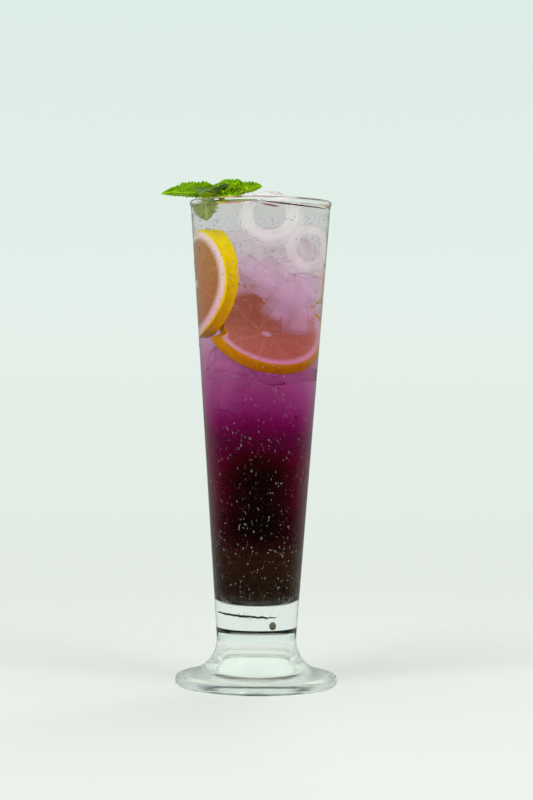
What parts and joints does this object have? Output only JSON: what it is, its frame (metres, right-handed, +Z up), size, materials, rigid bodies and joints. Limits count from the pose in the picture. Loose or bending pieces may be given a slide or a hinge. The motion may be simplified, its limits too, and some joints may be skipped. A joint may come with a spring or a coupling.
{
  "type": "glass of layered mojito",
  "caption": "Footed pilsner glass filled with a violet layered mojito, with tube ice, lemon slices and a sprig of mint.",
  "frame": {"origin": "on the glass axis, in the plane of the ring that the foot stands on", "axes": "+Z up along the glass axis, -Y to the front, +X to the right of someone who looks at the front"},
  "size_m": [0.0776, 0.07, 0.2193],
  "materials": {
    "clear_glass": "clear, polished, misted on the outside",
    "drink": "clear liquid, pale at the top, violet in the middle and nearly black at the bottom",
    "ice": "wet, clear to cloudy",
    "lemon": "waxy peel, pale pith, wet flesh",
    "mint_leaf": "veined, slightly hairy leaf",
    "mint_stem": "green stem"
  },
  "bodies": {
    "root": {"glass": "clear_glass", "drink": "drink", "ice_tube": "ice", "lemon_slice_standing": "lemon", "lemon_slice_lying": "lemon", "mint_stem": "mint_stem", "mint_leaf_left": "mint_leaf", "mint_leaf_front": "mint_leaf", "mint_leaf_right": "mint_leaf", "mint_leaf_top": "mint_leaf", "mint_leaf_back": "mint_leaf"}
  },
  "joints": []
}
